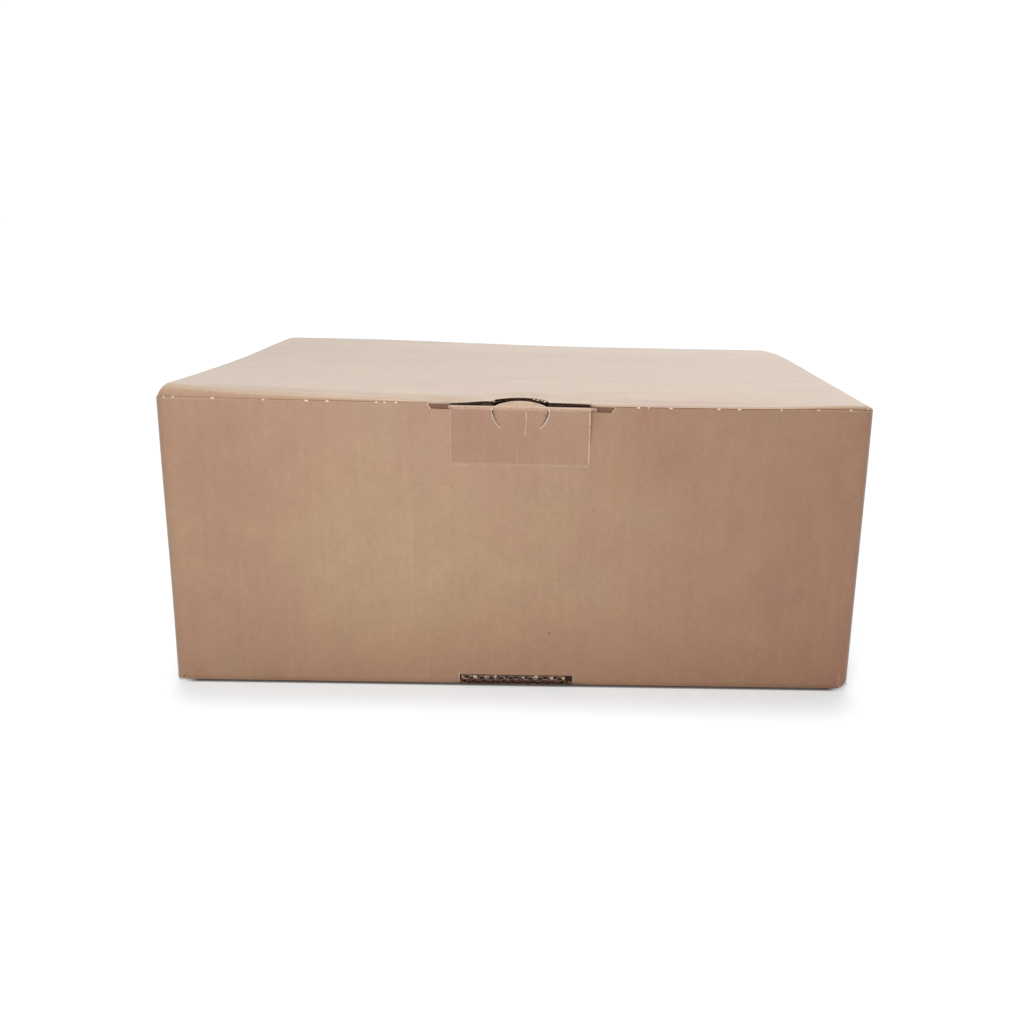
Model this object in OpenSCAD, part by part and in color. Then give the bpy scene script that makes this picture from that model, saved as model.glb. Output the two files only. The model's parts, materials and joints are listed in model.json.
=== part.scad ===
// Closed one-piece carton of corrugated board. A tube of four walls with a tuck-in lid, two dust flaps,
// a plugged double bottom, and a lock tab that folds out of the front wall and hooks under the lid.
// Millimetres. Z is up, the front faces -Y, and the origin is on the floor below the middle of the box.

/* [Box] */
// Outside width, left to right
box_w = 442; // [340:1:600]
// Outside depth, front to back
box_d = 344; // [300:4:480]
// Height of the front wall's cut top edge above the floor
wall_h = 186.5; // [120:0.5:260]

/* [Board] */
// Thickness of the corrugated board
board_t = 2.9; // [2:0.1:4]
// Thickness of each paper liner
liner_t = 0.35; // [0.2:0.05:0.6]
// Thickness of the wavy paper between the liners
medium_t = 0.3; // [0.2:0.05:0.4]
// Length of one wave of that paper
flute_pitch = 6.45; // [4:0.05:9]
// Width of the glue line where each crest of that paper meets a liner
glue_line = 0.5; // [0.3:0.05:1]

/* [Folds] */
// Inner radius of the folds at the lid, the flaps and the bottom
fold_r = 1; // [0.5:0.1:2]
// Inner radius of the rounded upright corners
corner_r = 2.2; // [1:0.1:4]
// Air between two plies that lie on each other
ply_gap = 0.3; // [0.2:0.05:0.5]
// Clearance at the free edges of the flaps
edge_gap = 1; // [0.5:0.1:3]
// Width of the flap that the upright seam is glued to
glue_flap_w = 34; // [20:1:50]
// How much the glue flap's ends slant
glue_slant = 8.5; // [2:0.5:15]
// Height above the floor at which the front corners are cut off
corner_foot = 1.5; // [1:0.1:3]
// Size of the worn chamfer under the front right corner
worn_foot = 5.2; // [2:0.1:8]

/* [Lid] */
// How far the lid's top face stands above the front wall's cut edge
lid_rise = 2; // [1:0.1:3]
// How far the lid's side edges stay inside the side walls
lid_inset = 3.7; // [1:0.1:6]
// Sideways place of the lid's centre
lid_x = 0.7; // [-1:0.1:1]
// How far the ends of the lid's front crease stay inside the side walls
crease_inset = 0.4; // [0.2:0.1:1]
// Radius of the lid's back corners, seen from above
lid_corner_r = 7; // [3:0.5:15]
// Size of the cut corners at the ends of the front crease, seen from above
crease_cut = 1.5; // [1:0.1:3]
// How far the worn ends of the front crease bulge out, as a share of their slope
crease_round = 0.1; // [0.02:0.01:0.2]
// Height of the bulge where the lid isn't pushed home, at its front left corner
lid_bulge = 5.8; // [0:0.1:12]
// How far back from the front crease the bulge reaches
bulge_run = 240; // [120:5:260]
// How slowly the bulge starts beside the tab, as a share of its width
bulge_ease = 0.08; // [0.02:0.01:0.3]
// How much rounder the front crease is where the bulge is highest
crease_soft = 3.5; // [0:0.5:5]
// Depth of the tuck flap behind the front wall
tuck_l = 46; // [30:1:60]
// Radius of the tuck flap's lower corners
tuck_corner_r = 16; // [5:1:25]
// Length of the dust flaps, from the side walls inwards
dust_l = 112; // [60:1:130]
// How much each side of a dust flap narrows to its free edge
dust_taper = 14; // [2:1:25]
// Size of the cut corners of a dust flap
dust_nick = 4; // [1:0.5:10]

/* [Lock tab] */
// Sideways place of the tab's centre
tab_x = 2.4; // [-10:0.2:10]
// Width of the tab
tab_w = 86.4; // [60:0.2:110]
// Height of the tab, from its crease to its folded top
tab_h = 37.2; // [30:0.2:50]
// Outer radius of the tab's fold, where the board is crushed
tab_ro = 2.2; // [1.5:0.1:2.8]
// Length of the tip that is tucked through the slit
tip_l = 12; // [8:0.5:13]
// Slope of the tip, downwards and inwards
tip_slope = 20; // [15:5:25]
// How much each face of the tip is pressed in
tip_press = 0.05; // [0.03:0.01:0.15]
// How far the fold stands up between the thumb cuts, in the recess
thumb_rise = 2.8; // [1:0.1:3.5]
// Width of the part that stands up
thumb_rise_w = 31; // [20:0.5:32]
// Width of the ear at the right end of the tab's folded top
ear_right_w = 4.2; // [2:0.2:6]
// Width of the ear at the left end
ear_left_w = 1.6; // [1.2:0.2:6]
// Slant of the ears' ends
ear_slant = 0.5; // [0.2:0.1:1]
// Width of the cut that frees the tab from the wall
tab_cut = 0.35; // [0.3:0.05:0.6]
// Radius of the thumb recess in the lid and of the thumb cuts in the tab
thumb_r = 17.4; // [12:0.2:22]
// Angle at which each thumb cut ends, below the middle of the fold
thumb_arc = 44; // [20:1:60]
// Width of the thumb cuts
thumb_cut = 0.6; // [0.4:0.1:1]

/* [Notch in the front wall] */
// Sideways place of the notch's centre
notch_x = 3; // [-10:0.2:10]
// Width of the notch at the wall's cut edge
notch_w = 116; // [104:1:130]
// Width that each slanted end takes
notch_slant = 2.2; // [1:0.1:4]
// Depth of the notch
notch_d = 3.6; // [3:0.1:5]

/* [Bottom] */
// Sideways place of the bottom slot's centre
slot_x = 1.3; // [-10:0.1:10]
// Width of the slot in the bottom crease
slot_w = 74.2; // [50:0.2:100]
// Width of the tongue that shows in the slot
tongue_w = 68.4; // [40:0.2:73]
// Sideways place of the tongue's centre
tongue_x = -0.5; // [-1:0.1:3]
// Height of the gap above the tongue
slot_gap = 1; // [0.2:0.1:2]
// How far the plies' cut edges stay behind the front wall's face
slot_set = 0.9; // [0.4:0.1:1.5]
// Length of the side bottom flaps, from the side walls inwards
bottom_flap_l = 125; // [60:1:145]
// How much each side of a side bottom flap narrows to its free edge
bottom_taper = 15; // [2:1:25]
// Size of the cut corners of the bottom flaps and the inner panel
bottom_nick = 2; // [1:0.5:10]
// Size of the cut corners of the outer bottom flap
outer_nick = 6; // [1:0.5:10]

/* [Hidden] */
$fn = 72;
kraft_front = [0.69, 0.57, 0.47];
kraft_tab = [0.72, 0.60, 0.50];
over = 1;                                 // how far a cutter runs past what it cuts
diagonal = sqrt(2);                       // of a square with sides of 1

front_y = -box_d / 2;
back_y = box_d / 2;
side_x = box_w / 2;
fold_ro = fold_r + board_t;
corner_ro = corner_r + board_t;
ply = board_t + ply_gap;                  // one ply of board and the air on it
front_fold_z = fold_ro;
back_fold_z = ply + fold_ro;
side_fold_z = ply + fold_ro;
lid_top = wall_h + lid_rise;
lid_under = lid_top - board_t;
lid_fold_z = lid_top - fold_ro;
dust_top = lid_under - ply_gap;
dust_fold_z = dust_top - fold_ro;
lid_w = box_w - 2 * lid_inset;
crease_w = box_w - 2 * crease_inset;
tuck_y = front_y + ply;                   // front face of the tuck flap
lid_front_y = tuck_y + fold_ro;           // where the lid starts to turn down
lid_back_y = back_y - fold_ro;
lip_y = tuck_y + fold_r / 2;              // the lid's cut edge at the slit
fold_side_gap = corner_ro + edge_gap / 2; // where the bottom folds end, in from the side walls
seam_x = -side_x + board_t;               // outer face of the glue flap
tuck_w = box_w - 2 * (corner_ro + ply_gap);
side_flap_w = box_d - 2 * (2 * ply + edge_gap);
inner_panel_w = box_w - 2 * (bottom_flap_l + edge_gap);

tab_top = lid_under - ply_gap - tab_cut / 2;
tab_fold_z = tab_top - tab_ro;
thumb_z = tab_fold_z + tab_ro * PI / 4;   // the thumb cuts' centre, halfway round the fold
crease_z = tab_top - tab_h;
notch_floor = wall_h - notch_d;
slit_w = tab_w + 2 * tab_cut;
slit_floor = tab_top - (board_t + (ply + board_t) * sin(tip_slope)) / cos(tip_slope) - 2 * tab_cut;
slot_h = ply + board_t + slot_gap;

// Folds and flaps

module fold_band() {
    intersection() {
        difference() {
            circle(fold_ro);
            circle(fold_r);
        }
        square(fold_ro + over);
    }
}

// Section of a wall that goes up from a fold centred on the origin, and of the flap that it turns into
module folded_section(up, run) {
    translate([fold_r, 0]) square([board_t, up]);
    rotate(-90) fold_band();
    translate([-run, -fold_ro]) square([run, board_t]);
}

// Outline of a flap that runs to -x from its fold and narrows to a free edge with cut corners
module flap_outline(width, run, taper, nick) {
    half = width / 2;
    polygon([
        [fold_ro + over, -half], [0, -half], [nick - run, taper - half], [-run, taper + nick - half],
        [-run, half - taper - nick], [nick - run, half - taper], [0, half], [fold_ro + over, half]
    ]);
}

// A strip of wall with its fold and its flap, in the frame of the wall: +x is outwards, z = 0 is the fold
module folded_flap(width, up, run, taper, nick) {
    intersection() {
        rotate([90, 0, 0]) linear_extrude(width + 2 * over, center = true) folded_section(up, run + over);
        translate([0, 0, -fold_ro - over]) linear_extrude(up + fold_ro + 2 * over)
            flap_outline(width, run, taper, nick);
    }
}

// Carries a folded flap to the wall that faces 0 right, 90 back, 180 left or 270 front
module at_wall(facing, fold_z, along = 0) {
    half = facing % 180 == 0 ? box_w / 2 : box_d / 2;
    rotate(facing) translate([half - fold_ro, along, fold_z]) children();
}

module upside_down() {
    mirror([0, 0, 1]) children();
}

module upright_corner(z0, z1) {
    translate([0, 0, z0]) linear_extrude(z1 - z0) intersection() {
        difference() {
            circle(corner_ro);
            circle(corner_r);
        }
        square(corner_ro + over);
    }
}

// Flutes: air between the liners, cut in from a board's edge that faces -Y, with the board's
// lower face at z = 0. One cell is the air between two neighbouring crests of the wavy paper.

wave_steps = 8;
wave_mid = board_t / 2;
wave_high = (board_t - 2 * liner_t - medium_t) / 2;

function wave_cell() = [
    for (i = [0 : wave_steps]) [
        glue_line / 2 + (flute_pitch - glue_line) * i / wave_steps,
        wave_high * cos(360 * i / wave_steps) + medium_t / 2
    ]
];

module flutes(width, depth) {
    cells = floor(width / flute_pitch - 0.5);
    start = -cells * flute_pitch / 2 - flute_pitch / 4;
    for (i = [0 : cells - 1])
        translate([start + i * flute_pitch, depth - over, wave_mid]) rotate([90, 0, 0]) {
            linear_extrude(depth) polygon(wave_cell());
            translate([flute_pitch / 2, 0, 0]) mirror([0, 1, 0])
                linear_extrude(depth) polygon(wave_cell());
        }
}

// Walls. Each stops at its highest bottom fold and its lowest top fold, and the folded flaps go on from there.

wall_low = side_fold_z;
wall_high = dust_fold_z;
back_foot = ply + ply_gap;                // the back corners stand over the outer bottom flap

module front_wall() {
    translate([corner_ro - side_x, front_y, front_fold_z])
        cube([box_w - 2 * corner_ro, board_t, wall_h - front_fold_z]);
}

module side_wall(near_x, far_y) {
    translate([near_x, front_y + corner_ro, wall_low])
        cube([board_t, far_y - front_y - corner_ro, wall_high - wall_low]);
}

// The back wall's lower edge is cut on both sides of the fold of the inner bottom panel
module back_wall() {
    translate([0, back_y - board_t, 0]) difference() {
        translate([seam_x + corner_ro, 0, back_foot])
            cube([box_w - board_t - 2 * corner_ro, board_t, wall_high - back_foot]);
        translate([-inner_panel_w / 2 - edge_gap, -over, back_foot - over])
            cube([inner_panel_w + 2 * edge_gap, board_t + 2 * over, wall_low - back_foot + over]);
    }
}

// Glued to the inner face of the left wall
module glue_flap() {
    translate([seam_x, back_y - corner_ro, 0]) rotate([90, 0, -90]) mirror([0, 0, 1]) linear_extrude(board_t)
        polygon([
            [0, wall_low], [glue_flap_w, wall_low + glue_slant],
            [glue_flap_w, wall_high - glue_slant], [0, wall_high]
        ]);
}

// Cuts the front right corner off at 45 degrees
module worn_corner() {
    worn_reach = worn_foot + corner_foot;
    translate([side_x, front_y, 0]) rotate([0, 45, 0])
        cube([diagonal * worn_reach, 4 * corner_ro, diagonal * worn_reach], center = true);
}

module walls() {
    front_wall();
    side_wall(side_x - board_t, back_y - corner_ro);
    side_wall(-side_x, back_y - edge_gap);
    back_wall();
    glue_flap();
    difference() {
        translate([side_x - corner_ro, front_y + corner_ro]) rotate(270) upright_corner(corner_foot, wall_h);
        worn_corner();
    }
    translate([corner_ro - side_x, front_y + corner_ro]) rotate(180) upright_corner(corner_foot, wall_h);
    translate([side_x - corner_ro, back_y - corner_ro]) upright_corner(back_foot, dust_top);
    translate([seam_x + corner_ro, back_y - corner_ro]) rotate(90) upright_corner(back_foot, dust_top);
}

// Bottom: the outer flap lies on the floor, with the inner panel and the two side flaps next to each other on it

module outer_bottom_flap() {
    at_wall(270, front_fold_z) folded_flap(
        box_w - 2 * fold_side_gap, wall_low + board_t - front_fold_z, box_d - fold_ro - edge_gap,
        edge_gap, outer_nick
    );
}

module inner_bottom_panel() {
    at_wall(90, back_fold_z) folded_flap(
        inner_panel_w, board_t, box_d - fold_ro - board_t - edge_gap, edge_gap, bottom_nick
    );
}

module side_bottom_flap(facing) {
    at_wall(facing, side_fold_z)
        folded_flap(side_flap_w, board_t, bottom_flap_l - fold_ro, bottom_taper, bottom_nick);
}

// Where the slot has taken the crease away, the outer flap's cut edge and the tongue come forward in it

module slot_lip() {
    translate([slot_x - slot_w / 2, front_y + slot_set, 0]) cube([slot_w, 2 * fold_ro, board_t]);
}

module tongue() {
    translate([tongue_x - tongue_w / 2, front_y + slot_set, ply]) cube([tongue_w, 2 * fold_ro, board_t]);
}

// The slot takes the bottom crease away, up to a gap above the tongue
module bottom_slot() {
    translate([slot_x - slot_w / 2, front_y - over, -over]) cube([slot_w, fold_ro + over, slot_h + over]);
}

module slot_flutes() {
    translate([slot_x, front_y + slot_set, 0]) flutes(slot_w, 5 * board_t);
    translate([tongue_x, front_y + slot_set, ply]) flutes(tongue_w, 5 * board_t);
}

// Lid

// The bulge dies out towards the tab, which holds the lid down, and towards the back crease
function bulge_side(x) =
    let (u = max(0, (tab_x - slit_w / 2 - x) / bulge_w))
    u * u / (u + bulge_ease) * (1 + bulge_ease);
function bulge(x, t) = lid_bulge * bulge_side(x) * pow(max(0, 1 - t / bulge_run), 2);

bulge_columns = 12;
bulge_rows = 8;
row_crowding = 1.5;                       // the rows lie closer together towards the front
lid_back_t = lid_back_y - lid_front_y;
lid_ts = [lid_back_t, for (i = [0 : bulge_rows]) bulge_run * pow(1 - i / bulge_rows, row_crowding)];
bulge_w = tab_x - slit_w / 2 + crease_w / 2;
lid_xs = [for (i = [0 : bulge_columns]) bulge_w * i / bulge_columns - crease_w / 2, crease_w / 2];
function crease_ro(x) = fold_ro + crease_soft * bulge_side(x);

// Points of the lid's section at one place across the box, over the outer face and back along the inner face
function lid_face(x, inset) =
    let (ro = crease_ro(x), turn_y = tuck_y + ro, turn_z = lid_top + bulge(x, 0) - ro)
    [
        for (t = lid_ts) [
            x, turn_y + t * (lid_back_y - turn_y) / lid_back_t, lid_top - inset + bulge(x, t)
        ],
        for (a = [15 : 15 : 90]) [x, turn_y - (ro - inset) * sin(a), turn_z + (ro - inset) * cos(a)],
        [x, tuck_y + inset, lid_fold_z + bulge(x, 0) - tuck_l]
    ];
function reversed(list) = [for (i = [len(list) - 1 : -1 : 0]) list[i]];
function lid_ring(x) = concat(lid_face(x, 0), reversed(lid_face(x, board_t)));

// A closed sheet through equal rings of points, where point i lies across the board from point n - 1 - i
module sheet(rings) {
    n = len(rings[0]);
    last = (len(rings) - 1) * n;
    function quad(a, b, c, d) = [[a, c, b], [a, d, c]];
    polyhedron(
        points = [for (ring = rings) each ring],
        faces = [
            for (i = [0 : n / 2 - 2]) each quad(i, n - 1 - i, n - 2 - i, i + 1),
            for (i = [0 : n / 2 - 2]) each quad(last + i, last + i + 1, last + n - 2 - i, last + n - 1 - i),
            for (r = [0 : n : last - 1], i = [0 : n - 1])
                each quad(r + i, r + (i + 1) % n, r + n + (i + 1) % n, r + n + i)
        ]
    );
}

// The lid seen from above, with its front crease as wide as the box
module lid_plan() {
    difference() {
        union() {
            translate([lid_x - lid_w / 2, front_y]) square([lid_w, lid_back_y - front_y]);
            translate([-crease_w / 2, front_y]) square([crease_w, lid_front_y - front_y]);
        }
        for (side = [-1, 1]) {
            translate([lid_x + side * lid_w / 2, lid_back_y])
                rotate(side > 0 ? 180 : -90) corner_waste(lid_corner_r);
            translate([side * crease_w / 2, tuck_y]) rotate(45) square(diagonal * crease_cut, center = true);
        }
    }
}

// Takes off what is above the worn ends of the front crease, which slope down from the lid's side edges
module crease_ends() {
    low = wall_h + 2 * ply_gap;
    for (side = [-1, 1]) {
        top = lid_top + (side < 0 ? lid_bulge : 0);
        edge = side * lid_x + lid_w / 2;
        share = (1 + crease_round) / 2;
        middle = [edge + share * (crease_w / 2 - edge), low + share * (top - low)];
        translate([0, lid_front_y + over, 0]) rotate([90, 0, 0])
            linear_extrude(lid_front_y - front_y + 2 * over) mirror([side > 0 ? 0 : 1, 0]) polygon([
                [edge, top], middle, [crease_w / 2, low], [side_x + over, low],
                [side_x + over, top + over], [edge, top + over]
            ]);
    }
}

// What rounding takes off a square corner that lies at the origin and opens to +x and +y
module corner_waste(r) {
    difference() {
        translate([-over, -over]) square(r + over);
        translate([r, r]) circle(r);
    }
}

module tuck_corners() {
    for (side = [-1, 1])
        translate([side * tuck_w / 2, lid_front_y - over, lid_fold_z - tuck_l + (side < 0 ? lid_bulge : 0)])
            rotate([90, 0, 0]) linear_extrude(fold_ro + 2 * over)
                mirror([side > 0 ? 1 : 0, 0]) corner_waste(tuck_corner_r);
}

// Below the walls' top edge the tuck flap is narrower, so that it goes down between the side walls
module tuck_sides() {
    for (side = [-1, 1])
        translate([side > 0 ? tuck_w / 2 : -side_x, front_y, lid_fold_z - tuck_l - over])
            cube([side_x - tuck_w / 2, lid_front_y - front_y, wall_h + ply_gap - lid_fold_z + tuck_l + over]);
}

// The slit takes the front crease away over the tab's width, so that the tip can pass under the lid
module tab_slit() {
    translate([tab_x - slit_w / 2, front_y, slit_floor])
        cube([slit_w, lid_front_y - front_y, lid_top + over - slit_floor]);
}

module thumb_recess() {
    translate([tab_x, lip_y, lid_under - over]) cylinder(r = thumb_r, h = board_t + 2 * over);
}

module lid() {
    difference() {
        union() {
            difference() {
                intersection() {
                    sheet([for (x = lid_xs) lid_ring(x)]);
                    translate([0, 0, lid_fold_z - tuck_l - over])
                        linear_extrude(tuck_l + fold_ro + lid_bulge + 2 * over) lid_plan();
                }
                tab_slit();
                crease_ends();
                tuck_corners();
                tuck_sides();
            }
            translate([tab_x - slit_w / 2, lip_y, lid_under])
                cube([slit_w, 2 * fold_ro, board_t]);
            at_wall(90, lid_fold_z, -lid_x) upside_down() folded_flap(
                lid_w - 2 * lid_corner_r, lid_fold_z - wall_high + board_t, 2 * board_t, 0, over
            );
        }
        translate([tab_x, lip_y, lid_under]) flutes(slit_w, thumb_r + 3 * board_t);
        thumb_recess();
    }
}

module dust_flap(facing) {
    at_wall(facing, dust_fold_z) upside_down()
        folded_flap(side_flap_w, board_t, dust_l - fold_ro, dust_taper, dust_nick);
}

// Openings in the front wall for the tab and its notch
module tab_opening() {
    translate([tab_x - tab_w / 2 - tab_cut, front_y - over, crease_z])
        cube([tab_w + 2 * tab_cut, board_t + 2 * over, wall_h - crease_z + over]);
    translate([notch_x, front_y + board_t + over, notch_floor]) rotate([90, 0, 0])
        linear_extrude(board_t + 2 * over) polygon([
            [notch_slant - notch_w / 2, 0], [notch_w / 2 - notch_slant, 0],
            [notch_w / 2, notch_d], [notch_w / 2, notch_d + over],
            [-notch_w / 2, notch_d + over], [-notch_w / 2, notch_d]
        ]);
}

// Nodes

module carton() {
    color(kraft_front) {
        difference() {
            union() {
                difference() {
                    union() {
                        walls();
                        outer_bottom_flap();
                    }
                    tab_opening();
                    bottom_slot();
                }
                slot_lip();
                inner_bottom_panel();
                tongue();
            }
            slot_flutes();
        }
        for (facing = [0, 180]) {
            side_bottom_flap(facing);
            dust_flap(facing);
        }
        lid();
    }
}

// Section of the tab: up the front wall, round its crushed fold, and down into the box along the tip.
// The origin is the centre of the fold's outer face.
module tab_section() {
    far = 2 * tab_ro;
    translate([-tab_ro, crease_z + tab_cut - tab_fold_z])
        square([board_t, tab_fold_z - crease_z - tab_cut]);
    intersection() {
        circle(tab_ro);
        polygon([[0, -over], [-far, 0], [-far, far], far * [sin(tip_slope), cos(tip_slope)]]);
    }
    rotate(-tip_slope) translate([-tip_press, tab_ro - board_t + tip_press])
        square([tip_l + tip_press, board_t - 2 * tip_press]);
}

// A narrow arc round the middle of the fold, from where the fold starts and down
module thumb_slit() {
    far = 2 * thumb_r;
    start = tab_fold_z - thumb_z;
    intersection() {
        difference() {
            circle(thumb_r + thumb_cut / 2);
            circle(thumb_r - thumb_cut / 2);
        }
        polygon([[0, start], [far, start], far * [1, -tan(thumb_arc)], [0, 0]]);
    }
}

module ear(side, w) {
    rise = tab_top - notch_floor - 2 * tab_cut;
    translate([tab_x + side * tab_w / 2, front_y + board_t, notch_floor + tab_cut])
        rotate([90, 0, 0]) linear_extrude(board_t) mirror([side > 0 ? 0 : 1, 0])
            polygon([[0, 0], [w - ear_slant, 0], [w, ear_slant], [w - ear_slant, rise], [0, rise]]);
}

// Section of the part of the fold that stands up between the thumb cuts
module thumb_section() {
    rise_top = fold_ro + thumb_rise;
    fold_mid = (fold_r + fold_ro) / 2;
    polygon([
        [-fold_mid, fold_mid], [rise_top - 2 * fold_mid, rise_top], [fold_ro, rise_top],
        [2 * fold_ro, fold_r], [fold_r, 2 * fold_r]
    ]);
}

// It is arched across the tab, under the curve of the recess
module thumb_arch() {
    half = thumb_rise_w / 2;
    arch_r = (half * half + thumb_rise * thumb_rise) / (2 * thumb_rise);
    intersection() {
        rotate([90, 0, 90]) linear_extrude(thumb_rise_w, center = true) thumb_section();
        translate([0, fold_ro + over, fold_ro + thumb_rise - arch_r]) rotate([90, 0, 0])
            cylinder(r = arch_r, h = 3 * fold_ro + 2 * over, $fn = 4 * $fn);
    }
}

module lock_tab() {
    color(kraft_tab) {
        difference() {
            union() {
                translate([tab_x, front_y + tab_ro, tab_fold_z])
                    rotate([90, 0, 90]) linear_extrude(tab_w, center = true) tab_section();
                translate([tab_x, front_y + fold_ro, tab_top - fold_ro]) thumb_arch();
            }
            translate([tab_x, front_y + board_t + over, thumb_z]) rotate([90, 0, 0])
                linear_extrude(board_t + 2 * over) {
                    thumb_slit();
                    mirror([1, 0]) thumb_slit();
                }
        }
        ear(-1, ear_left_w);
        ear(1, ear_right_w);
    }
}

carton();
lock_tab();
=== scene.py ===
import json
import math
import random

import bmesh
import bpy
from bpy.props import FloatProperty, FloatVectorProperty, IntProperty, PointerProperty
from mathutils import Euler, Matrix, Vector, noise


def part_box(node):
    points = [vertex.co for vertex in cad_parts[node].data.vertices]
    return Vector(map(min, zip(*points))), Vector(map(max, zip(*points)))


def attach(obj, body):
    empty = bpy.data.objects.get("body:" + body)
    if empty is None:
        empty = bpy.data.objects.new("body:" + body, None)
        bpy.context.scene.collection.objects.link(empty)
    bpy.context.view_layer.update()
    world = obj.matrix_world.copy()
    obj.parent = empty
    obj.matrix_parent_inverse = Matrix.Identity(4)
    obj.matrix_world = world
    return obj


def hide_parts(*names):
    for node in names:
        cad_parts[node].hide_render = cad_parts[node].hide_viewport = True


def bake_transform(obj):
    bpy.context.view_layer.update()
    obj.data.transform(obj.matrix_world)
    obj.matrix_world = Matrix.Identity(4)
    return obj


bl_info = {
    "name": "Closed cardboard box",
    "version": (1, 0, 0),
    "blender": (4, 5, 0),
    "location": "View3D > Sidebar > Box",
    "description": "Dresses the solids of a closed tuck-lid carton in kraft board",
    "category": "Object",
}

# The fixed frame, and its box before any dressing
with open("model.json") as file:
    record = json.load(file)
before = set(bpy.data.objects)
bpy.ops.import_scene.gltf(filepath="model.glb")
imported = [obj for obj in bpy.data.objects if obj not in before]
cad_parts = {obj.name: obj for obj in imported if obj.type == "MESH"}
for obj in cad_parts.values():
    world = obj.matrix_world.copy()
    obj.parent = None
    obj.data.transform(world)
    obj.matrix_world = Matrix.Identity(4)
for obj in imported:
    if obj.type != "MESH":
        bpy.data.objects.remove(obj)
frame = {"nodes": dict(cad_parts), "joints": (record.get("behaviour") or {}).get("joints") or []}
bpy.context.view_layer.update()
CARTON_LOW, CARTON_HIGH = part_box("carton")
TAB_LOW, TAB_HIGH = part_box("lock_tab")
HINGE = Vector(frame["joints"][0]["pos_m"])

# Sizes of the board and its cuts, in metres, as the solids have them
MM = 0.001
HALF_W = CARTON_HIGH.x
FRONT_Y = CARTON_LOW.y
BACK_Y = CARTON_HIGH.y
WALL_H = 0.1865
BOARD_T = 0.0029
PLY = 0.0032
LINER_T = 0.00035
FLUTE_PITCH = 0.00645
LID_TOP = 0.1885
LID_UNDER = LID_TOP - BOARD_T
LID_LEFT, LID_RIGHT = -0.2166, 0.2180
TUCK_Y = FRONT_Y + PLY
LIP_Y = TUCK_Y + 0.0005
TAB_X = HINGE.x
TAB_W = 0.0864
TAB_LEFT, TAB_RIGHT = TAB_X - TAB_W / 2, TAB_X + TAB_W / 2
CREASE_Z = HINGE.z
TAB_CUT = 0.00035
TAB_FOLD_Z = 0.182925
THUMB_Z = 0.184653
THUMB_R = 0.0174
NOTCH_FLOOR = 0.1829
NOTCH_LEFT, NOTCH_RIGHT = -0.0550, 0.0610
NOTCH_SLANT = 0.0022
SLOT_LEFT, SLOT_RIGHT, SLOT_TOP = -0.0358, 0.0384, 0.0071
SLOT_SET = 0.0009
TONGUE_LOW = 0.0032

# The lid bends most around its thumb recess and behind its front crease, so its mesh is cut closer there
RECESS_LEFT, RECESS_RIGHT = -0.0240, 0.0290
BEND_FRONT, BEND_BACK = -0.1665, -0.1125

# Places of the materials in the carton's list, after the liner
CUT_EDGE, WALL_EDGE, FLUTES_IN_SHADE, SHADED_LINER = 1, 2, 3, 4

# Creases in the tab's face: start and end as sideways place and height, and how far they stand up
WRINKLES = (
    ((0.0060, 0.1815), (0.0064, 0.1750), 0.00030),
    ((0.0064, 0.1750), (0.0055, 0.1680), 0.00026),
    ((0.0006, 0.1580), (0.0012, 0.1505), 0.00014),
)

# How far the lid's front crease and the slit's edge are pressed down, at places from left to right
PRESSED = (
    (-0.2166, 0.0), (-0.1600, 0.0008), (-0.0800, 0.0010), (TAB_LEFT, 0.0025), (-0.0180, 0.0009),
    (-0.0080, 0.0012), (0.0220, 0.0012), (TAB_RIGHT, 0.0017), (0.0600, 0.0013), (0.1500, 0.0012),
    (0.2160, 0.0),
)

# Sideways places and half widths of the torn bits, in millimetres
NICKS = ((-219.5, 0.6), (-215, 0.5), (-209.5, 0.7), (-186, 1.1), (-155, 0.9), (-128.5, 1.4), (-116, 1.2),
         (-86, 0.8), (-81, 0.7), (-74, 0.9), (75, 1.0), (81, 0.5), (95, 1.3), (124.5, 1.2), (137, 1.0),
         (163, 0.8), (186, 0.7), (206, 0.9))
SLIT_BITS = ((10.5, 0.8), (13.0, 1.2), (15.5, 0.9), (17.6, 1.4), (-14.2, 0.7))
SLOT_BITS = ((-33.9, 0.6), (-28.3, 0.5), (-25.5, 1.3), (-18.4, 0.8), (-17.0, 0.6), (-12.1, 1.1),
             (-6.0, 0.4), (5.2, 0.5), (6.4, 0.8), (12.7, 0.6), (14.7, 1.3), (24.8, 1.3), (32.4, 0.9))


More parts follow.
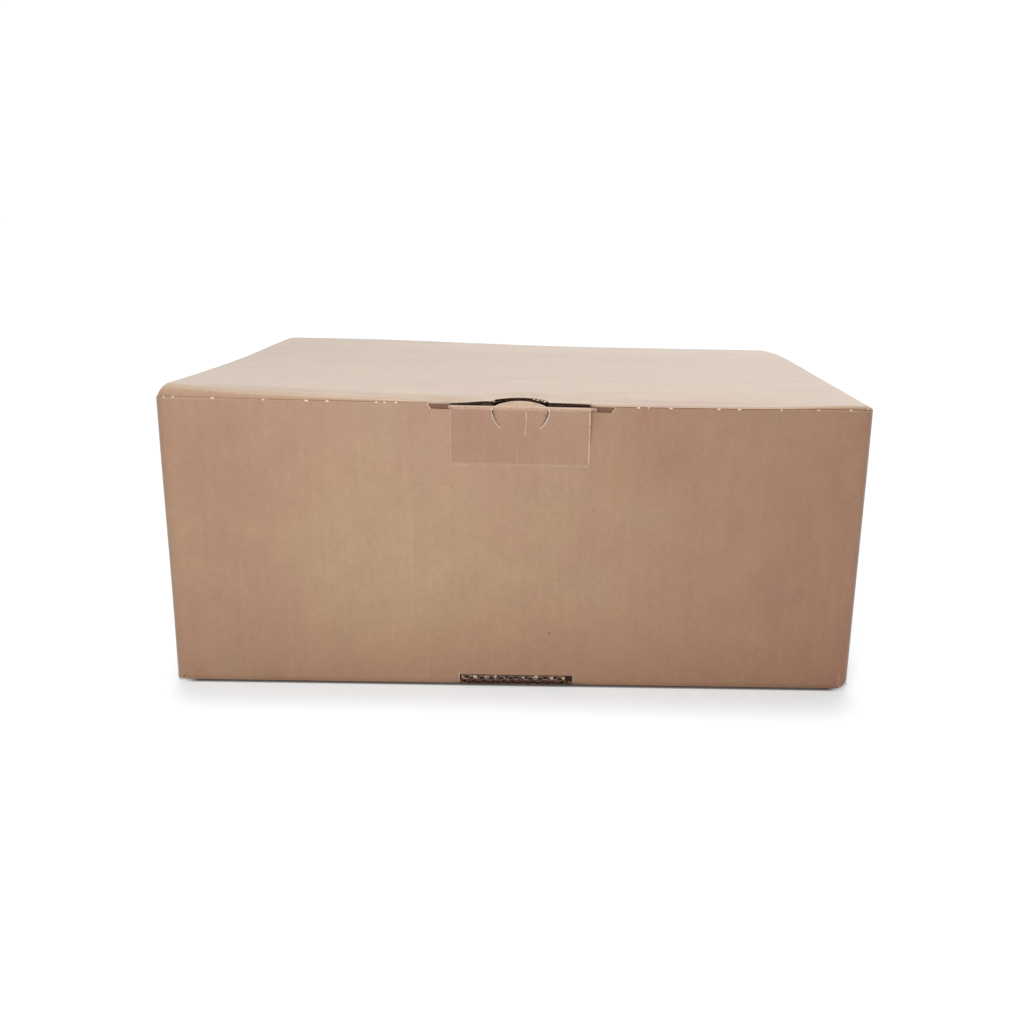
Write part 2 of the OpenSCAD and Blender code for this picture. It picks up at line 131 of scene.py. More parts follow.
class BoardSettings(bpy.types.PropertyGroup):
    """Colours and grain of the kraft board."""

    liner: FloatVectorProperty(
        name="Liner", description="Colour of the kraft liner on the outside",
        subtype="COLOR", size=3, min=0, max=1, default=(0.372, 0.217, 0.132))
    liner_yellow: FloatVectorProperty(
        name="Yellow patches", description="Colour of the yellower patches in the liner",
        subtype="COLOR", size=3, min=0, max=1, default=(0.385, 0.248, 0.142))
    liner_red: FloatVectorProperty(
        name="Red patches", description="Colour of the redder patches in the liner",
        subtype="COLOR", size=3, min=0, max=1, default=(0.362, 0.190, 0.124))
    # Painted light: colour of the lid's top and of a pool of light on the front
    painted_light: FloatVectorProperty(
        name="Faded liner", description="Colour of the lid and of the front's light patch",
        subtype="COLOR", size=3, min=0, max=1, default=(0.408, 0.268, 0.154))
    # Painted shade: what the darkening of the front and of the tab takes from the liner's colour
    shade_tint: FloatVectorProperty(
        name="Dirt", description="What dirt takes from the liner's colour",
        subtype="COLOR", size=3, min=0, max=1, default=(0.84, 0.70, 0.67))
    shaded: FloatVectorProperty(
        name="Shaded liner", description="Colour of the liner deep in gaps",
        subtype="COLOR", size=3, min=0, max=1, default=(0.130, 0.046, 0.018))
    scuffed: FloatVectorProperty(
        name="Rubbed fibre", description="Colour where folds and cut edges are rubbed",
        subtype="COLOR", size=3, min=0, max=1, default=(0.660, 0.500, 0.380))
    torn: FloatVectorProperty(
        name="Torn fibre", description="Colour of the torn paper at nicks",
        subtype="COLOR", size=3, min=0, max=1, default=(0.880, 0.800, 0.700))
    cut: FloatVectorProperty(
        name="Cut edge", description="Colour of the board's cut edges",
        subtype="COLOR", size=3, min=0, max=1, default=(0.240, 0.135, 0.090))
    # Painted shade: the fluted paper is near-black for the shade deep in the flutes
    flute_in_shade: FloatVectorProperty(
        name="Fluted paper", description="Colour of the fluted paper inside the board",
        subtype="COLOR", size=3, min=0, max=1, default=(0.050, 0.030, 0.022))
    roughness: FloatProperty(
        name="Roughness", description="Roughness of the liner",
        subtype="FACTOR", min=0, max=1, default=0.55)


class WearSettings(bpy.types.PropertyGroup):
    """How far the handled box departs from its flat blank."""

    warp: FloatProperty(
        name="Warp", description="How far the panels bow in and out",
        subtype="DISTANCE", unit="LENGTH", min=0, max=0.002, default=0.0004)
    back_sag: FloatProperty(
        name="Back sag", description="How far the lid's back right part has sunk",
        subtype="DISTANCE", unit="LENGTH", min=0, max=0.006, default=0.0038)
    pressed: FloatProperty(
        name="Pressed", description="How much of the lid's front crease is pressed down",
        subtype="FACTOR", min=0, max=1, default=1.0)
    wall_drop: FloatProperty(
        name="Wall drop", description="How far the front wall's top has sunk right of the tab",
        subtype="DISTANCE", unit="LENGTH", min=0, max=0.002, default=0.0008)
    corner_rise: FloatProperty(
        name="Corner rise", description="How far the front wall's top stands up at the left",
        subtype="DISTANCE", unit="LENGTH", min=0, max=0.002, default=0.0009)
    squared: FloatProperty(
        name="Squared", description="How square the bottom crease has been pressed",
        subtype="FACTOR", min=0, max=1, default=0.7)
    tab_lift: FloatProperty(
        name="Tab lift", description="How far the tab's right edge stands proud of the wall",
        subtype="DISTANCE", unit="LENGTH", min=0, max=0.002, default=0.0009)
    # Painted shade: how much darker the front is towards the floor and the right
    shade_amount: FloatProperty(
        name="Grime", description="How much dirtier the front is towards the floor and the right",
        subtype="FACTOR", min=0, max=1, default=1.0)
    seed: IntProperty(
        name="Seed", description="Seed of the torn bits and of the panels' bow", min=1, default=7)


class StageSettings(bpy.types.PropertyGroup):
    """Floor, light and view."""

    floor_colour: FloatVectorProperty(
        name="Floor", description="Colour of the plain floor",
        subtype="COLOR", size=3, min=0, max=1, default=(0.77, 0.81, 0.84))
    floor_glow: FloatProperty(
        name="Floor glow", description="Even light of the floor, which keeps it white", min=0,
        default=0.28)
    floor_bounce: FloatProperty(
        name="Floor bounce", description="How much light the floor sends back up",
        subtype="FACTOR", min=0, max=1, default=0.30)
    floor_size: FloatProperty(
        name="Floor size", description="Width of the floor",
        subtype="DISTANCE", unit="LENGTH", min=1, default=60.0)
    sky: FloatProperty(
        name="Sky", description="Strength of the even light from all sides", min=0, default=0.45)
    key: FloatProperty(
        name="Key light", description="Power of the soft light at the front left, in watts",
        subtype="POWER", min=0, default=2.6)
    overhead: FloatProperty(
        name="Overhead light", description="Strength of the soft sun above", min=0, default=1.65)


def smooth(value, low, high):
    """0 below low, 1 above high, and an even turn in between."""
    t = min(1.0, max(0.0, (value - low) / (high - low)))
    return t * t * (3 - 2 * t)


# Shader nodes


def add_node(tree, kind, inputs=None, **options):
    """Adds one shader node. An input is a plain value or the socket that feeds it."""
    made = tree.nodes.new(kind)
    for option, value in options.items():
        setattr(made, option, value)
    for socket, value in (inputs or {}).items():
        if isinstance(value, bpy.types.NodeSocket):
            tree.links.new(value, made.inputs[socket])
        else:
            made.inputs[socket].default_value = value
    return made


def calc(tree, operation, first, second=0.0, third=0.0):
    """The output of one Math node."""
    return add_node(
        tree, "ShaderNodeMath", {0: first, 1: second, 2: third}, operation=operation).outputs[0]


def product(tree, *factors):
    """The product of two or more values."""
    result = factors[0]
    for factor in factors[1:]:
        result = calc(tree, "MULTIPLY", result, factor)
    return result


def remap(tree, value, low, high, to_low=0.0, to_high=1.0):
    """The output of one Map Range node with an even turn, held within its ends."""
    return add_node(
        tree, "ShaderNodeMapRange",
        {"Value": value, "From Min": low, "From Max": high, "To Min": to_low, "To Max": to_high},
        interpolation_type="SMOOTHSTEP").outputs["Result"]


def mixed(tree, factor, first, second):
    """The colour output of one Mix node."""
    made = add_node(tree, "ShaderNodeMix", {0: factor}, data_type="RGBA")
    for socket, value in ((6, first), (7, second)):
        if isinstance(value, bpy.types.NodeSocket):
            tree.links.new(value, made.inputs[socket])
        else:
            made.inputs[socket].default_value = (*value[:3], 1.0)
    return made.outputs[2]


def grain(tree, place, scale, detail=2.0, rough=0.5, stretch=(1, 1, 1)):
    """Noise on the object's own coordinates. Scale counts patches to a metre."""
    mapping = add_node(tree, "ShaderNodeMapping", {"Vector": place, "Scale": stretch})
    return add_node(
        tree, "ShaderNodeTexNoise",
        {"Vector": mapping.outputs[0], "Scale": scale, "Detail": detail, "Roughness": rough}
    ).outputs["Fac"]


def near_point(tree, place, point, inner, outer):
    """1 within inner of a point, 0 beyond outer."""
    gap = add_node(tree, "ShaderNodeVectorMath", {0: place, 1: point}, operation="DISTANCE")
    return remap(tree, gap.outputs["Value"], inner, outer, 1, 0)


def near_line(tree, parts, start, end, inner, outer):
    """1 within inner of a line on the front, from (x, z) start to (x, z) end, 0 beyond outer."""
    length = math.dist(start, end)
    along = [(b - a) / length for a, b in zip(start, end)]
    dx = calc(tree, "SUBTRACT", parts.outputs[0], start[0])
    dz = calc(tree, "SUBTRACT", parts.outputs[2], start[1])
    run = calc(tree, "MULTIPLY_ADD", dx, along[0], calc(tree, "MULTIPLY", dz, along[1]))
    run = calc(tree, "MINIMUM", calc(tree, "MAXIMUM", run, 0.0), length)
    off_x = calc(tree, "SUBTRACT", dx, calc(tree, "MULTIPLY", run, along[0]))
    off_z = calc(tree, "SUBTRACT", dz, calc(tree, "MULTIPLY", run, along[1]))
    squares = calc(tree, "MULTIPLY_ADD", off_x, off_x, calc(tree, "MULTIPLY", off_z, off_z))
    return remap(tree, calc(tree, "SQRT", squares), inner, outer, 1, 0)


def within(tree, value, low, high, soft):
    """1 between low and high, 0 outside, with soft edges."""
    return product(tree, remap(tree, value, low - soft, low), remap(tree, value, high, high + soft, 1, 0))


def new_material(name):
    """An empty material with its Principled shader."""
    material = bpy.data.materials.new(name)
    material.use_nodes = True
    tree = material.node_tree
    return material, tree, tree.nodes["Principled BSDF"]


def edge_distance(tree, parts):
    """How far a point on the box's surface is from the box's nearest edge."""
    across = calc(tree, "SUBTRACT", HALF_W, calc(tree, "ABSOLUTE", parts.outputs[0]))
    deep = calc(tree, "SUBTRACT", BACK_Y, calc(tree, "ABSOLUTE", parts.outputs[1]))
    above = calc(tree, "MINIMUM", parts.outputs[2],
                 calc(tree, "ABSOLUTE", calc(tree, "SUBTRACT", LID_TOP, parts.outputs[2])))
    total = calc(tree, "ADD", calc(tree, "ADD", across, deep), above)
    largest = calc(tree, "MAXIMUM", calc(tree, "MAXIMUM", across, deep), above)
    return calc(tree, "SUBTRACT", total, largest)


def rough_relief(tree, shader, height, strength, distance):
    """Gives a shader the relief of a height value."""
    bump = add_node(tree, "ShaderNodeBump",
                    {"Height": height, "Strength": strength, "Distance": distance})
    tree.links.new(bump.outputs[0], shader.inputs["Normal"])


def set_paper(shader, roughness, gloss=0.0, sheen=0.0):
    """The even part of a paper finish: its gloss at a low angle, and the sheen of its fibres."""
    shader.inputs["Roughness"].default_value = roughness
    shader.inputs["Specular IOR Level"].default_value = 0.36 if gloss else 0.05
    shader.inputs["Sheen Weight"].default_value = sheen
    shader.inputs["Sheen Roughness"].default_value = 0.45
    shader.inputs["Coat Weight"].default_value = gloss
    shader.inputs["Coat Roughness"].default_value = 0.35


def kraft_liner(name, marks, handled=(0.0, 0.0)):
    """Kraft liner: mottled, streaked along the flutes, with fibres and rubbed folds, and with painted light
    and shade.

    marks is a function that gives a piece's own marks, as pairs of a mask and a colour.
    handled is how much painted shade darkens the piece all over, at the left and at the right end of the
    tab.
    """
    board = bpy.context.scene.box_board
    wear = bpy.context.scene.box_wear
    material, tree, shader = new_material(name)
    place = add_node(tree, "ShaderNodeTexCoord").outputs["Object"]
    parts = add_node(tree, "ShaderNodeSeparateXYZ", {0: place})
    x, y, z = parts.outputs
    normal = add_node(tree, "ShaderNodeSeparateXYZ",
                      {0: add_node(tree, "ShaderNodeNewGeometry").outputs["True Normal"]})

    # Yellow and red patches
    tone = mixed(tree, remap(tree, grain(tree, place, 14, 3, 0.6), 0.42, 0.66, 0, 0.55),
                 board.liner, board.liner_yellow)
    tone = mixed(tree, remap(tree, grain(tree, place, 26, 3, 0.6, (1, 1, 0.7)), 0.46, 0.70, 0, 0.55),
                 tone, board.liner_red)

    # Painted light: the lid's top and a broad patch of the front are lighter
    on_lid = calc(tree, "GREATER_THAN", normal.outputs[2], 0.7)
    patch = near_point(tree, place, (-0.075, FRONT_Y, 0.075), 0.02, 0.12)
    painted_light = calc(tree, "MAXIMUM", calc(tree, "MULTIPLY", on_lid, 0.9), calc(tree, "MULTIPLY", patch, 0.8))
    tone = mixed(tree, painted_light, tone, board.painted_light)

    # Light and dark: streaks along the flutes, cloudy and fine mottling, and fibres
    on_side = calc(tree, "GREATER_THAN", calc(tree, "ABSOLUTE", normal.outputs[0]), 0.7)
    across = add_node(tree, "ShaderNodeMix", {0: on_side, 2: x, 3: y}).outputs[0]
    drift = calc(tree, "MULTIPLY", calc(tree, "ADD", x, y), 0.03)
    streak_place = add_node(
        tree, "ShaderNodeCombineXYZ",
        {0: across, 1: calc(tree, "MULTIPLY", z, 0.05), 2: drift}).outputs[0]
    streaks = grain(tree, streak_place, 230, 3, 0.6)
    clouds = grain(tree, place, 42, 3, 0.6)
    fine = grain(tree, place, 300, 4, 0.65)
    fibres = grain(tree, place, 1200, 3, 0.7, (0.4, 0.4, 1.0))
    shade = 0.60
    for layer, amount in ((streaks, 0.16), (clouds, 0.18), (fine, 0.25), (fibres, 0.21)):
        shade = calc(tree, "MULTIPLY_ADD", layer, amount, shade)

    # Painted shade: the lid is darker at its left. It is also streaked from side to side
    dim = calc(tree, "MULTIPLY", on_lid, remap(tree, x, -0.20, -0.03, 0.09, 0.0))
    long_streaks = remap(tree, grain(tree, place, 60, 4, 0.65, (0.25, 1.0, 1.0)), 0.36, 0.64, -0.04, 0.04)
    dim = calc(tree, "MULTIPLY_ADD", on_lid, long_streaks, dim)
    shade = calc(tree, "MULTIPLY", shade, calc(tree, "SUBTRACT", 1.0, dim))

    # The lid has long smudges. Painted shade makes the front darker towards the floor, towards the right and
    # by its right edge; it is also darker by the tab's right side
    smudge = remap(tree, grain(tree, place, 24, 4, 0.65, (0.4, 1.0, 1.0)), 0.46, 0.66)
    tone = mixed(tree, product(tree, smudge, on_lid, 0.75), tone, board.liner)
    low = product(tree, remap(tree, z, 0.0, 0.085, 1, 0), remap(tree, x, -0.20, 0.0, 0.65, 1.0))
    right = product(tree, remap(tree, x, 0.05, HALF_W), remap(tree, z, 0.02, 0.15, 0.55, 1.0))
    by_tab = near_point(tree, place, (0.078, FRONT_Y, 0.168), 0.020, 0.060)
    by_edge = product(tree, remap(tree, x, HALF_W - 0.014, HALF_W - 0.001), remap(tree, z, 0.0, 0.12, 1, 0))
    on_front = calc(tree, "LESS_THAN", normal.outputs[1], -0.7)
    painted_shade = 0.0
    for place_of_shade, amount in ((low, 0.55), (right, 0.55), (by_tab, 0.42), (by_edge, 0.35)):
        painted_shade = calc(tree, "MULTIPLY_ADD", place_of_shade, amount, painted_shade)
    tone = add_node(tree, "ShaderNodeVectorMath", {0: tone, "Scale": shade},
                    operation="SCALE").outputs[0]
    taken = add_node(tree, "ShaderNodeVectorMath", {0: tone, 1: tuple(board.shade_tint)},
                     operation="MULTIPLY").outputs[0]
    tab_shade_here = remap(tree, x, TAB_LEFT, TAB_RIGHT, *handled)
    painted_shade = calc(tree, "MAXIMUM", product(tree, painted_shade, on_front, wear.shade_amount), tab_shade_here)
    tone = mixed(tree, painted_shade, tone, taken)

    # Rubbed folds and marks
    patchy = remap(tree, grain(tree, place, 160, 4, 0.7), 0.42, 0.62, 0.1, 0.5)
    rubbed = product(tree, patchy, remap(tree, edge_distance(tree, parts), 0.0005, 0.0018, 1, 0))
    tone = mixed(tree, rubbed, tone, board.scuffed)
    for mask, colour in marks(tree, place, parts):
        tone = mixed(tree, mask, tone, colour)
    tree.links.new(tone, shader.inputs["Base Color"])

    # Relief of the flutes and fibres
    wave = calc(tree, "SINE", calc(tree, "MULTIPLY", across, 2 * math.pi / FLUTE_PITCH))
    relief = calc(tree, "MULTIPLY_ADD", wave, 0.06, calc(tree, "MULTIPLY", fine, 0.5))
    relief = calc(tree, "MULTIPLY_ADD", fibres, 0.25, relief)
    rough_relief(tree, shader, relief, 0.4, 0.0004)
    set_paper(shader, board.roughness, 0.32, 0.4)
    return material


def cut_board(name, flutes_along_x=False):
    """The board's cut edges. On the front wall's top edge, the ends of the flutes are drawn in."""
    board = bpy.context.scene.box_board
    material, tree, shader = new_material(name)
    place = add_node(tree, "ShaderNodeTexCoord").outputs["Object"]
    fuzz = grain(tree, place, 700, 4, 0.7)
    # The cut edge is mottled with the near-black of the flutes, painted shade in their hollows
    tone = mixed(tree, remap(tree, fuzz, 0.35, 0.65), board.cut, board.flute_in_shade)
    tone = mixed(tree, remap(tree, grain(tree, place, 420, 3, 0.6), 0.60, 0.74, 0, 0.6),
                 tone, board.scuffed)
    parts = add_node(tree, "ShaderNodeSeparateXYZ", {0: place})
    # In the bottom slot the tongue's edge is paler than the flap's edge below it
    tongue = within(tree, parts.outputs[2], TONGUE_LOW + 0.0004, SLOT_TOP + 0.001, 0.0004)
    tone = mixed(tree, calc(tree, "MULTIPLY", tongue, 0.35), tone, board.scuffed)
    if flutes_along_x:
        # Painted light: the front wall's top edge is paler towards the left. Painted shade fills the flutes'
        # hollows, more towards the right
        tone = mixed(tree, remap(tree, parts.outputs[0], -0.02, 0.04, 0.85, 0.4), tone, board.liner)
        wave = calc(tree, "SINE", calc(tree, "MULTIPLY", parts.outputs[0],
                                       2 * math.pi / FLUTE_PITCH))
        depth = calc(tree, "SUBTRACT", parts.outputs[1], FRONT_Y + BOARD_T / 2)
        off = calc(tree, "ABSOLUTE", calc(tree, "MULTIPLY_ADD", wave, -BOARD_T * 0.36, depth))
        paper = remap(tree, off, 0.00015, 0.00035, 1, 0)
        liner = remap(tree, calc(tree, "ABSOLUTE", depth),
                      BOARD_T / 2 - LINER_T * 1.3, BOARD_T / 2 - LINER_T * 0.7)
        hollow = mixed(tree, remap(tree, parts.outputs[0], -0.02, 0.04, 0.9, 0.2), board.shaded, board.liner)
        tone = mixed(tree, calc(tree, "MAXIMUM", paper, liner), hollow, tone)
    tree.links.new(tone, shader.inputs["Base Color"])
    rough_relief(tree, shader, fuzz, 0.8, 0.0005)
    set_paper(shader, 0.85)
    return material


def fibre_paper(name, first, second, low, high):
    """Fuzzy paper of two colours."""
    material, tree, shader = new_material(name)
    place = add_node(tree, "ShaderNodeTexCoord").outputs["Object"]
    fuzz = grain(tree, place, 1100, 4, 0.7)
    tree.links.new(mixed(tree, remap(tree, fuzz, low, high), first, second),
                   shader.inputs["Base Color"])
    rough_relief(tree, shader, fuzz, 0.8, 0.0004)
    set_paper(shader, 0.9)
    return material


# Meshes


def solid_copy(node):
    """A merged copy of a solid's mesh, with its flat faces made whole."""
    work = bmesh.new()
    work.from_mesh(frame["nodes"][node].data)
    bmesh.ops.remove_doubles(work, verts=work.verts, dist=1e-6)
    bmesh.ops.dissolve_limit(work, angle_limit=math.radians(0.2), verts=work.verts,
                             edges=work.edges, use_dissolve_boundaries=False)
    return work


def cut_across(work, axis, places):
    """Cuts the mesh through at each place along an axis, so that it can bend there."""
    normal = [0, 0, 0]
    normal[axis] = 1
    for place in places:
        point = [0, 0, 0]
        point[axis] = place
        bmesh.ops.bisect_plane(work, geom=[*work.verts, *work.edges, *work.faces],
                               dist=1e-6, plane_co=point, plane_no=normal)


def steps(low, high, count):
    """Places that divide a length evenly, without its ends."""
    return [low + (high - low) * i / count for i in range(1, count)]


def finish_piece(work, piece, materials, body=None, stands_for=None):
    """Makes the object of a piece, shades it and ties it to its body."""
    bmesh.ops.triangulate(work, faces=[f for f in work.faces if len(f.verts) > 4])
    mesh = bpy.data.meshes.new(piece)
    work.to_mesh(mesh)
    work.free()
    made = bpy.data.objects.new(piece, mesh)
    bpy.context.collection.objects.link(made)
    for material in materials:
        mesh.materials.append(material)
    mesh.shade_smooth()
    mesh.set_sharp_from_angle(angle=math.radians(32))
    if body:
        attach(made, body)
    if stands_for:
        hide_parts(stands_for)
    return made


def pressed_depth(x):
    """How far the lid's front is pressed down at a sideways place."""
    for (start, depth), (end, next_depth) in zip(PRESSED, PRESSED[1:]):
        if start <= x <= end:
            return depth + (next_depth - depth) * smooth(x, start, end)
    return 0.0


def carton_wear(point):
    """Where a point of the flat-folded carton is on the handled box."""
    wear = bpy.context.scene.box_wear
    x, y, z = point
    # The front crease and the slit's edge are pressed down
    if z > LID_UNDER and y > TUCK_Y - 0.0002:
        edge = LIP_Y + THUMB_R * (1 - smooth(abs(x - TAB_X), 0.006, 0.030))
        near = 1 - smooth(y, edge - 0.001, edge + 0.017 + 0.035 * smooth(x, 0.010, 0.060))
        z -= (z - LID_UNDER) / BOARD_T * pressed_depth(x) * wear.pressed * near
    # The front wall's top is lower right of the tab, and stands up and out at the left
    top = smooth(point.z, 0.160, 0.182) * (1 - smooth(y, -0.165, -0.150))
    z -= wear.wall_drop * smooth(x, 0.044, 0.056) * (1 - smooth(x, 0.140, 0.205)) * top
    if y < TUCK_Y - 0.0002:
        z += wear.corner_rise * (1 - smooth(x, -0.240, -0.090)) * top
        if x < NOTCH_LEFT and point.z > WALL_H - 1e-5 and y > FRONT_Y + BOARD_T - 1e-5:
            y += 0.00025
    # The load has pressed the bottom crease square
    across, up = FRONT_Y + PLY - y, PLY - z
    if across > 1e-6 and up > 1e-6 and not SLOT_LEFT - 0.002 < x < SLOT_RIGHT + 0.002:
        spread = 1 + wear.squared * (math.hypot(across, up) / max(across, up) - 1)
        y = max(FRONT_Y, FRONT_Y + PLY - across * spread)
        z = max(0.0, PLY - up * spread)
    if x < -0.190:
        x -= 0.0006 * (1 - smooth(x, -0.221, -0.190)) * smooth(point.z, 0.050, 0.160) * (
            1 - smooth(point.z, 0.1866, 0.1880))
    # Panels bow, and the lid has sunk at the back
    bow = noise.noise_vector(point * 6) * wear.warp
    rise = smooth(point.z, 0.0, 0.012)
    upper = smooth(point.z, 0.110, WALL_H)
    back = smooth(y, 0.028, 0.190) ** 2 * 1.25
    across = 0.25 + 0.75 * smooth(x, -0.170, 0.070)
    sag = wear.back_sag * across * back * upper
    return Vector((x + bow.x, y + bow.y, z + bow.z * rise - sag))


def in_flutes(x, y, z):
    """Whether a face's middle lies inside the open flutes at the slot or the slit."""
    slot = (SLOT_LEFT < x < SLOT_RIGHT and FRONT_Y + SLOT_SET + 1e-5 < y < FRONT_Y + 0.02
            and 0.0001 < z < SLOT_TOP)
    slit = (TAB_LEFT - TAB_CUT < x < TAB_RIGHT + TAB_CUT and LIP_Y - 1e-5 < y < LIP_Y + 0.03
            and LID_UNDER + 0.0001 < z < LID_TOP - 0.0001)
    return slot or slit


def is_cut_edge(x, y, z, normal):
    """Whether a face is one of the board's cut edges."""
    lip = abs(y - LIP_Y) < 1e-5 or abs(math.hypot(x - TAB_X, y - LIP_Y) - THUMB_R) < 4e-5
    return (
        (normal.y < -0.9 and abs(y - FRONT_Y - SLOT_SET) < 1e-5)
        or (TAB_LEFT - TAB_CUT < x < TAB_RIGHT + TAB_CUT and LID_UNDER < z < LID_TOP and lip
            and abs(normal.z) < 0.3)
        or (abs(normal.x) > 0.9 and z > LID_UNDER and min(abs(x - LID_LEFT), abs(x - LID_RIGHT)) < 2e-5)
        or (abs(normal.z) > 0.9 and y < FRONT_Y + BOARD_T and abs(z - NOTCH_FLOOR) < 2e-5)
    )


def behind_notch(x, y, z):
    """Whether a face's middle is on the tuck flap, in the shade behind the notch beside the tab."""
    return (abs(y - TUCK_Y - 0.001) < 0.0015 and 0.1750 < z < 0.1860
            and (NOTCH_LEFT - 0.01 < x < TAB_LEFT or TAB_RIGHT < x < NOTCH_RIGHT + 0.01))


def carton_marks(tree, place, parts):
    """Speck, painted shade in the notch, beside the tab and on the bottom crease, a painted tan band where
    the lid slopes down to its front crease, and light cut lines of the carton.
    """
    board = bpy.context.scene.box_board
    x, y, z = parts.outputs
    patchy = remap(tree, grain(tree, place, 420, 3, 0.6), 0.36, 0.62, 0.15, 0.85)
    on_wall = remap(tree, y, FRONT_Y + 0.0008, FRONT_Y + 0.0014, 1, 0)
    behind_wall = within(tree, y, TUCK_Y - 0.0006, TUCK_Y + 0.0022, 0.0004)
    light = [
        ((SLOT_LEFT, 0.0006), (SLOT_LEFT, SLOT_TOP + 0.0006), 0.8),
        ((SLOT_RIGHT, 0.0006), (SLOT_RIGHT, SLOT_TOP + 0.0004), 0.8),
        ((NOTCH_LEFT + NOTCH_SLANT, NOTCH_FLOOR), (NOTCH_LEFT, WALL_H), 0.6),
        ((NOTCH_RIGHT - NOTCH_SLANT, NOTCH_FLOOR), (NOTCH_RIGHT, WALL_H), 1.0),
        ((0.072, WALL_H), (0.218, WALL_H), 0.5),
        ((-0.218, WALL_H), (-0.060, WALL_H), 0.2),
        ((0.2147, 0.0022), (0.2143, 0.0110), 0.4),
    ]
    marks = [
        (product(tree, near_line(tree, parts, a, b, 0.0002, 0.0008), patchy, on_wall, much), board.scuffed)
        for a, b, much in light
    ]
    # Painted shade deep in the notch, and painted shadow on the wall beside the tab's right edge
    in_notch = product(tree, behind_wall, within(tree, x, NOTCH_LEFT, NOTCH_RIGHT, 0.002),
                       remap(tree, z, 0.1842, 0.1868, 0.92, 0.0))
    beside_tab = product(
        tree, near_line(tree, parts, (TAB_RIGHT + 0.0008, 0.1830), (TAB_RIGHT + 0.0006, 0.1640),
                        0.0002, 0.0015), on_wall, remap(tree, z, 0.150, 0.182, 0.1, 0.55))
    soft_shade = product(
        tree, near_line(tree, parts, (TAB_RIGHT + 0.0020, 0.1830), (TAB_RIGHT + 0.0020, 0.1720),
                        0.0005, 0.0085), on_wall, remap(tree, z, 0.166, 0.182, 0.0, 0.28))
    speck = near_point(tree, place, (0.0226, FRONT_Y, 0.0369), 0.0004, 0.0009)
    # Painted shade: the lid's slope down to its front crease at the left is tinted tan, where it shows less
    # sheen
    strip = product(tree, remap(tree, y, -0.1640, -0.1560, 0.15, 0.0), remap(tree, x, -0.060, -0.045, 1, 0),
                    calc(tree, "GREATER_THAN", z, WALL_H + 0.0002))
    # Painted shade along the front's bottom crease
    low = product(tree, remap(tree, z, 0.0003, 0.0013, 0.85, 0.0),
                  remap(tree, y, FRONT_Y + 0.003, FRONT_Y + 0.005, 1, 0))
    return [(strip, board.scuffed), *marks, (in_notch, board.shaded), (beside_tab, board.shaded),
            (soft_shade, board.shaded), (low, board.shaded), (speck, board.shaded)]


class BOX_OT_carton(bpy.types.Operator):
    """Dresses the folded blank: walls, lid, tuck flap, dust flaps and bottom flaps"""

    bl_idname = "box.carton"
    bl_label = "Carton"

    def execute(self, context):
        board = context.scene.box_board
        noise.seed_set(context.scene.box_wear.seed)
        work = solid_copy("carton")
        cut_across(work, 0, steps(-HALF_W, HALF_W, 44))
        cut_across(work, 0, [TAB_LEFT - TAB_CUT, TAB_RIGHT + TAB_CUT, *steps(RECESS_LEFT, RECESS_RIGHT, 26)])
        cut_across(work, 1, [*steps(FRONT_Y, BACK_Y, 34), *steps(BEND_FRONT, BEND_BACK, 30)])
        cut_across(work, 2, steps(0, LID_TOP, 14))
        for face in work.faces:
            x, y, z = face.calc_center_median()
            if face.normal.z > 0.9 and y < FRONT_Y + BOARD_T and abs(z - WALL_H) < 2e-5:
                face.material_index = WALL_EDGE
            elif is_cut_edge(x, y, z, face.normal):
                face.material_index = CUT_EDGE
            # Faces inside the open flutes get near-black paper, painted shade deep in the flutes
            elif in_flutes(x, y, z):
                face.material_index = FLUTES_IN_SHADE
            elif behind_notch(x, y, z):
                face.material_index = SHADED_LINER
        for vert in work.verts:
            vert.co = carton_wear(vert.co)
        finish_piece(
            work, "carton_board",
            [kraft_liner("kraft_carton", carton_marks), cut_board("board_edge"),
             cut_board("wall_edge", True),
             fibre_paper("fluted_paper_in_shade", board.flute_in_shade, board.cut, 0.40, 0.75),
             fibre_paper("shaded_liner", board.cut, board.flute_in_shade, 0.50, 1.0)],
            "carton", "carton")
        return {"FINISHED"}


def tab_wear(point):
    """Where a point of the flat tab is on the handled box."""
    wear = bpy.context.scene.box_wear
    x, y, z = point
    lift = wear.tab_lift * smooth(x, TAB_X + 0.004, TAB_RIGHT) * smooth(z, CREASE_Z, TAB_FOLD_Z)
    ridge = 0.0
    for (x0, z0), (x1, z1), high in WRINKLES:
        run = min(1.0, max(0.0, (z0 - z) / (z0 - z1)))
        off = abs(x - (x0 + (x1 - x0) * run))
        ends = smooth(z, z1 - 0.002, z1 + 0.001) * (1 - smooth(z, z0 - 0.001, z0 + 0.002))
        ridge = max(ridge, high * (1 - smooth(off, 0.0001, 0.0010)) * ends)
    front = 1 - smooth(y, FRONT_Y + 0.0005, FRONT_Y + 0.0020)
    # The thumb piece has sunk
    z -= 0.0009 * smooth(y, -0.1675, -0.1600) * smooth(point.z, 0.180, 0.184)
    # The tab's edges nearly touch the wall
    if abs(x - TAB_LEFT) < 1e-5:
        x -= 0.00030
    if abs(x - TAB_RIGHT) < 1e-5:
        x += 0.00015
    return Vector((x, y - lift - ridge * front, z))


